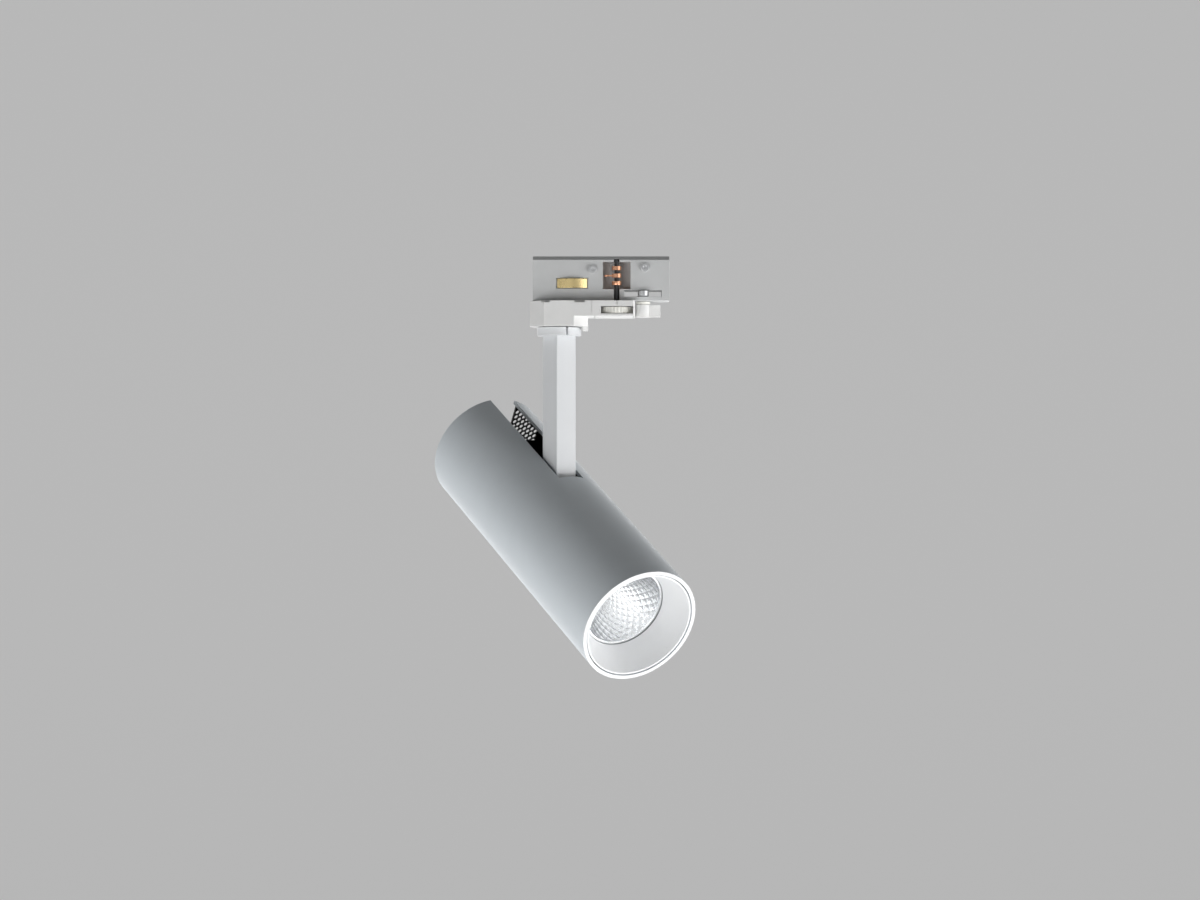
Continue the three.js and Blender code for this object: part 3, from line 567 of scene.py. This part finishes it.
def anti_glare_cone():
    """The white cone between the tube's mouth and the reflector."""
    mesh = turned(
        "cone",
        [
            (30.05, LIP),  # the white rim inside the painted highlight ring at the tube's mouth
            (29.2, LIP),
            (28.9, LIP - 0.4),
            (THROAT_RADIUS, LIP - THROAT_DEPTH),
            (THROAT_RADIUS + THROAT_WALL, LIP - THROAT_DEPTH),
            (28.7, LIP - 3.5),
            (29.0, LIP - 3.5),  # the band that sits in the tube
            (29.0, LIP - 7.5),
            (30.2, LIP - 7.5),
        ],
    )
    cone = new_object("anti_glare_cone", mesh, "white_baffle", "head", BARREL)
    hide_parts("baffle")
    return soften(cone, RIM_EDGE, 2, TURNED_ANGLE)


NECK_X, NECK_RADIUS = 63.8, 8.0
MOUTH_X, MOUTH_RADIUS = 88.8, 21.3


def bowl_radius(x):
    """The radius of the reflector's parabola at a place along the head."""
    spread = (MOUTH_RADIUS**2 - NECK_RADIUS**2) / (MOUTH_X - NECK_X)
    return math.sqrt(NECK_RADIUS**2 + spread * (x - NECK_X))


FACET_COLUMNS = 26
FACET_ROWS = 12
FACET_DISH = 0.38
FACET_STEPS = 4
FACET_GROWTH = 1.3  # of the rows towards the mouth
CREASE_ANGLE = math.radians(7)
FACET_WELD = 0.002 * MM
RIM_WIDTH = 1.1
REFLECTOR_WALL = (0.5, 0.8)  # of the shell's two faces, outside the bowl
FLANGE_SETBACK, FLANGE_WIDTH = 2.2, 1
FLANGE_RADIUS = 28.6
BOWL_STATIONS = 12
REFLECTOR_EDGE = 0.1


def facet(builder, row, column):
    """One kite of the reflector, dished outwards; its corners lie on the bowl itself."""
    length = MOUTH_X - RIM_WIDTH - NECK_X
    grid = []
    for i in range(FACET_STEPS + 1):
        a = i / FACET_STEPS
        line = []
        for j in range(FACET_STEPS + 1):
            b = j / FACET_STEPS
            level = min(max(row - 1 + a + b, 0), FACET_ROWS)
            angle = 2 * math.pi * (column + (a - b) / 2) / FACET_COLUMNS
            x = NECK_X + length * (level / FACET_ROWS) ** FACET_GROWTH
            base = bowl_radius(x)
            dish = FACET_DISH * 16 * a * (1 - a) * b * (1 - b)  # full in the kite's middle
            radius = base + dish * base / MOUTH_RADIUS
            place = Vector((x, radius * math.sin(angle), radius * math.cos(angle)))
            line.append(builder.verts.new(place * MM))
        grid.append(line)
    for i in range(FACET_STEPS):
        for j in range(FACET_STEPS):
            corners = (grid[i][j], grid[i + 1][j], grid[i + 1][j + 1], grid[i][j + 1])
            builder.faces.new(corners)


def faceted_bowl():
    """The reflector's inside: kites in staggered rows, with a crease round each one."""
    builder = bmesh.new()
    for row in range(FACET_ROWS + 1):
        for column in range(FACET_COLUMNS):
            facet(builder, row, column + 0.5 * ((row + 1) % 2))
    bmesh.ops.remove_doubles(builder, verts=builder.verts[:], dist=FACET_WELD)
    bmesh.ops.dissolve_degenerate(builder, edges=builder.edges[:], dist=FACET_WELD)
    bmesh.ops.recalc_face_normals(builder, faces=builder.faces[:])
    # Every face looks towards the axis, whichever way round the open bowl was read.
    sample = builder.faces[0]
    if sample.normal.y * sample.calc_center_median().y > 0:
        bmesh.ops.reverse_faces(builder, faces=builder.faces[:])
    for face in builder.faces:
        face.smooth = True
    for edge in builder.edges:
        edge.smooth = edge.calc_face_angle(0) < CREASE_ANGLE
    mesh = bpy.data.meshes.new("bowl")
    builder.to_mesh(mesh)
    builder.free()
    return mesh


def reflector():
    """The faceted bowl, with a plain shell and flange behind it."""
    bowl = new_object("reflector_facets", faceted_bowl(), "bright_reflector", "head", BARREL)
    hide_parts("reflector")
    flange = MOUTH_X - FLANGE_SETBACK
    steps = range(BOWL_STATIONS + 1)
    stations = [NECK_X + (flange - NECK_X) * i / BOWL_STATIONS for i in steps]
    inside, outside = ([(bowl_radius(x) + w, x) for x in stations] for w in REFLECTOR_WALL)
    rim_start = MOUTH_X - RIM_WIDTH
    lip = THROAT_RADIUS - REFLECTOR_EDGE
    outline = [
        (MOUTH_RADIUS, MOUTH_X),
        (bowl_radius(rim_start), rim_start),
        *inside[::-1],
        *outside,
        (FLANGE_RADIUS, flange),
        (FLANGE_RADIUS, flange + FLANGE_WIDTH),
        (lip, flange + FLANGE_WIDTH),
        (lip, MOUTH_X),
    ]
    mesh = turned("shell", outline)
    shell = new_object("reflector_shell", mesh, "bright_reflector", "head", BARREL)
    soften(shell, REFLECTOR_EDGE, 2)


# ---- Stem -------------------------------------------------------------------------------------

STEM_TUBE = {"depth": 15, "width": 12, "wall": 1.5, "top": -17.8, "bottom": -95.7}
STEM_CORNER, STEM_INNER_CORNER = 0.45, 0.3
STEM_EDGE = 0.12
STEM_SCREW_Z, STEM_SCREW_HOLE, STEM_SCREW_STEPS = -25, 1.6, 40


def rounded_rectangle(half_x, half_y, radius, steps=5):
    """Points round a rectangle with rounded corners."""
    points = []
    for cx, cy, start in (
        (half_x - radius, half_y - radius, 0),
        (radius - half_x, half_y - radius, 90),
        (radius - half_x, radius - half_y, 180),
        (half_x - radius, radius - half_y, 270),
    ):
        for i in range(steps + 1):
            a = math.radians(start + 90 * i / steps)
            points.append((cx + radius * math.cos(a), cy + radius * math.sin(a)))
    return points


def hollow_prism(name, outer, inner, z0, z1):
    """A straight tube between two outlines that have the same number of points."""
    builder = bmesh.new()
    loops = [
        [builder.verts.new((x * MM, y * MM, z * MM)) for x, y in outline]
        for outline, z in ((outer, z0), (outer, z1), (inner, z1), (inner, z0))
    ]
    count = len(outer)
    for first, second in zip(loops, loops[1:] + loops[:1]):
        for i in range(count):
            j = (i + 1) % count
            builder.faces.new((first[i], first[j], second[j], second[i]))
    return to_mesh(name, builder)


def stem_tube():
    """The rectangular tube, with the hole of its screw in the back."""
    size = STEM_TUBE
    half_x, half_y = size["depth"] / 2, size["width"] / 2
    wall = size["wall"]
    mesh = hollow_prism(
        "stem",
        rounded_rectangle(half_x, half_y, STEM_CORNER),
        rounded_rectangle(half_x - wall, half_y - wall, STEM_INNER_CORNER),
        size["bottom"],
        size["top"],
    )
    tube = new_object("stem_profile", mesh, "stem_paint", "stem", STEM)
    # Through the back wall only.
    hole = rod("x", -9, -5, STEM_SCREW_HOLE, (0, 0, STEM_SCREW_Z), STEM_SCREW_STEPS)
    carve(tube, STEM, [hole])
    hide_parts("stem_tube")
    return soften(tube, STEM_EDGE)


COLLAR_RADIUS = 11.8
COLLAR_TOP, COLLAR_BOTTOM = -14.5, -18.4
LIP_TOP, LIP_INNER = -13.85, 10.6  # the collar's lip hides the friction washer
NIPPLE_SEAT = 5.25
COLLAR_CHAMFER = 0.2
SLIT_HEADING = -68  # from +X, at rest
SLIT_HALF, SLIT_DEPTH = 0.5, 2.5
COLLAR_SEGMENTS = 144
SOCKET_TOP = -17.5
SOCKET_ROOM = 0.25  # round the stem


def swivel_collar():
    """The ring under the adapter: the stem's socket below, the nipple's seat above, one slit."""
    outline = [
        (NIPPLE_SEAT, COLLAR_TOP),
        (LIP_INNER, COLLAR_TOP),
        (LIP_INNER, LIP_TOP),
        (COLLAR_RADIUS - COLLAR_CHAMFER, LIP_TOP),
        (COLLAR_RADIUS, LIP_TOP - COLLAR_CHAMFER),
        (COLLAR_RADIUS, COLLAR_BOTTOM + COLLAR_CHAMFER),
        (COLLAR_RADIUS - COLLAR_CHAMFER, COLLAR_BOTTOM),
        (NIPPLE_SEAT, COLLAR_BOTTOM),
    ]
    mesh = turned("collar", outline, COLLAR_SEGMENTS, "z")
    collar = new_object("collar_ring", mesh, "stem_paint", "stem", STEM)
    half_x = STEM_TUBE["depth"] / 2 + SOCKET_ROOM
    half_y = STEM_TUBE["width"] / 2 + SOCKET_ROOM
    socket = block(-half_x, half_x, -half_y, half_y, COLLAR_BOTTOM - 1, SOCKET_TOP)
    floor, outside = COLLAR_RADIUS - SLIT_DEPTH, COLLAR_RADIUS + 2
    slit = block(floor, outside, -SLIT_HALF, SLIT_HALF, -20, -13)
    pan_rest = math.degrees(math.atan2(HEADING.y, HEADING.x))
    slit.transform(Matrix.Rotation(math.radians(SLIT_HEADING - pan_rest), 4, "Z"))
    carve(collar, STEM, [socket, slit])
    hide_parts("swivel_collar")
    return soften(collar, STEM_EDGE)


EMITTER_RADIUS = 6.5
EMITTER_BACK, EMITTER_FACE = 59.4, 60.0
DAM_RADIUS, FILL_RADIUS = 5.9, 5.6
FILL_DEPTH, MIDDLE_DEPTH = 0.15, 0.12
EMITTER_EDGE, EMITTER_SEGMENTS = 0.04, 96
ON_AXIS = 0.001


def led_emitter():
    """The chip-on-board disc: phosphor filled to a slightly raised dam."""
    low, high = EMITTER_BACK, EMITTER_FACE
    outline = [
        (ON_AXIS, low),
        (EMITTER_RADIUS, low),
        (EMITTER_RADIUS, high),
        (DAM_RADIUS, high),
        (FILL_RADIUS, high - FILL_DEPTH),
        (ON_AXIS, high - MIDDLE_DEPTH),
    ]
    mesh = turned("emitter", outline, EMITTER_SEGMENTS)
    disc = new_object("led_disc", mesh, "phosphor", "head", BARREL)
    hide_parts("led_emitter")
    return soften(disc, EMITTER_EDGE, 2, TURNED_ANGLE)


# ---- Base housing -----------------------------------------------------------------------------

HOUSING_FACE = -15.5
SEAM_X, SEAM_HALF, SEAM_BOTTOM = 17.4, 0.14, -9
POINTER_X, POINTER_RADIUS, POINTER_BOTTOM = 30.8, 0.5, -2.1
HOUSING_PAST = 1  # above the housing
POINTER_STEPS = 24
MARK_DEPTH = 0.3
LUG_X, LUG_Y, LUG_BOTTOM = (12, 17), (-7, 7), -15.6


def housing_marks():
    """The moulding's seam, the notch over the thumb wheel and the trimmed end of the lug."""
    cut_from, cut_to = HOUSING_FACE - 1, HOUSING_FACE + MARK_DEPTH
    left, right = SEAM_X - SEAM_HALF, SEAM_X + SEAM_HALF
    seam = block(left, right, cut_from, cut_to, SEAM_BOTTOM, HOUSING_PAST)
    at = (POINTER_X, HOUSING_FACE, 0)
    pointer = rod("z", POINTER_BOTTOM, HOUSING_PAST, POINTER_RADIUS, at, POINTER_STEPS)
    lug_end = block(*LUG_X, *LUG_Y, -18, LUG_BOTTOM)
    return [seam, pointer, lug_end]


# ---- All the pieces ---------------------------------------------------------------------------

slotted_tube()
tube_painted_shade_and_highlight()
rear_grille()
anti_glare_cone()
reflector()
stem_tube()
swivel_collar()
led_emitter()

BUILT = {
    "head_tube",
    "rear_grille",
    "baffle",
    "reflector",
    "stem_tube",
    "swivel_collar",
    "led_emitter",
}

DETAILS = {"base_housing": housing_marks()}
SLOT_OF = {row["node"]: row["material_slot"] for row in frame["record"]["subparts"]}
for node, slot in SLOT_OF.items():
    if node not in BUILT:
        refined(node, slot, DETAILS.get(node, ()))

# ---- Stage, lights and camera -----------------------------------------------------------------

FLOOR_Z, CEILING_Z = -1700, 3600
STAGE_RADIUS, STAGE_BEND = 4200, 1400
STAGE_GREY, STAGE_GLOW = 0.42, 0.9
BEND_STEPS, STAGE_SEGMENTS = 16, 96

OBJECT_MIDDLE = Vector((0, 0, -0.1))
WORLD_STRENGTH = 0.01
WORLD_COLOR = (0.96, 1.0, 1.0, 1)

CAMERA_PLACE = Vector((0.0219, -1.931, -0.1063))
CAMERA_TARGET = Vector((0.0219, 0, -0.0795))
SENSOR_WIDTH, FOCAL_LENGTH, CLIP_END = 36, 108, 30


def backdrop():
    """A round floor that curves up into a wall and over into a ceiling, alike from every side."""
    angles = [math.pi / 2 * i / BEND_STEPS for i in range(BEND_STEPS + 1)]
    flat = STAGE_RADIUS - STAGE_BEND
    curve = [
        (flat + STAGE_BEND * math.sin(a), FLOOR_Z + STAGE_BEND * (1 - math.cos(a)))
        for a in angles
    ]
    over = [(r, FLOOR_Z + CEILING_Z - z) for r, z in curve[::-1]]
    profile = [(1, FLOOR_Z), *curve, *over, (1, CEILING_Z)]
    builder = bmesh.new()
    segments = STAGE_SEGMENTS
    rings = [
        [
            builder.verts.new(
                (
                    r * math.cos(2 * math.pi * i / segments) * MM,
                    r * math.sin(2 * math.pi * i / segments) * MM,
                    z * MM,
                )
            )
            for i in range(segments)
        ]
        for r, z in profile
    ]
    for low, high in zip(rings, rings[1:]):
        for i in range(segments):
            j = (i + 1) % segments
            builder.faces.new((low[i], low[j], high[j], high[i]))
    builder.faces.new(rings[0][::-1])
    builder.faces.new(rings[-1])
    mesh = to_mesh("backdrop", builder)
    for polygon in mesh.polygons:
        polygon.use_smooth = True
    material = surface(
        "backdrop",
        (STAGE_GREY, STAGE_GREY, STAGE_GREY),
        roughness=0.9,
        mottle=0.0,
        grain_depth=0.0,
        specular=0.0,
        glow=STAGE_GLOW,
    )
    mesh.materials.append(material)
    thing = bpy.data.objects.new("backdrop", mesh)
    bpy.context.scene.collection.objects.link(thing)
    thing.visible_diffuse = False


def area_light(name, place, size, power):
    """A rectangular lamp that faces the middle of the object and isn't seen itself."""
    data = bpy.data.lights.new(name, "AREA")
    data.shape = "RECTANGLE"
    data.size, data.size_y = size
    data.energy = power
    light = bpy.data.objects.new(name, data)
    bpy.context.scene.collection.objects.link(light)
    light.location = place
    light.rotation_euler = (OBJECT_MIDDLE - Vector(place)).to_track_quat("-Z", "Y").to_euler()
    light.visible_camera = False


def lights():
    """Large soft lamps, in metres and watts, with a faint even light from all round."""
    area_light("right", (2.2, -0.9, -0.3), (2.4, 2.2), 22)
    area_light("right_low", (1.9, -0.7, -1.1), (2.0, 1.8), 40)
    area_light("front_low", (-0.9, -1.7, -1.1), (2.0, 1.6), 27)
    area_light("left_low", (-1.9, 0.1, -1.1), (1.8, 1.8), 21)
    area_light("below", (0.2, 0.1, -1.5), (1.8, 1.8), 15)
    area_light("front_high", (1.3, -1.6, 1.0), (1.6, 1.6), 1.6)
    area_light("back", (-0.3, 2.4, 0.1), (2.0, 2.0), 14)
    world = bpy.data.worlds.new("studio")
    bpy.context.scene.world = world
    world.use_nodes = True
    background = world.node_tree.nodes["Background"]
    background.inputs["Strength"].default_value = WORLD_STRENGTH
    background.inputs["Color"].default_value = WORLD_COLOR


def camera():
    """A long lens in front of the object, looking slightly upwards."""
    data = bpy.data.cameras.new("camera")
    data.sensor_width = SENSOR_WIDTH
    data.lens = FOCAL_LENGTH
    data.clip_end = CLIP_END
    thing = bpy.data.objects.new("camera", data)
    bpy.context.scene.collection.objects.link(thing)
    thing.location = CAMERA_PLACE
    aim = CAMERA_TARGET - CAMERA_PLACE
    thing.rotation_euler = aim.to_track_quat("-Z", "Y").to_euler()
    bpy.context.scene.camera = thing


bpy.context.scene.view_settings.view_transform = "Standard"
backdrop()
lights()
camera()
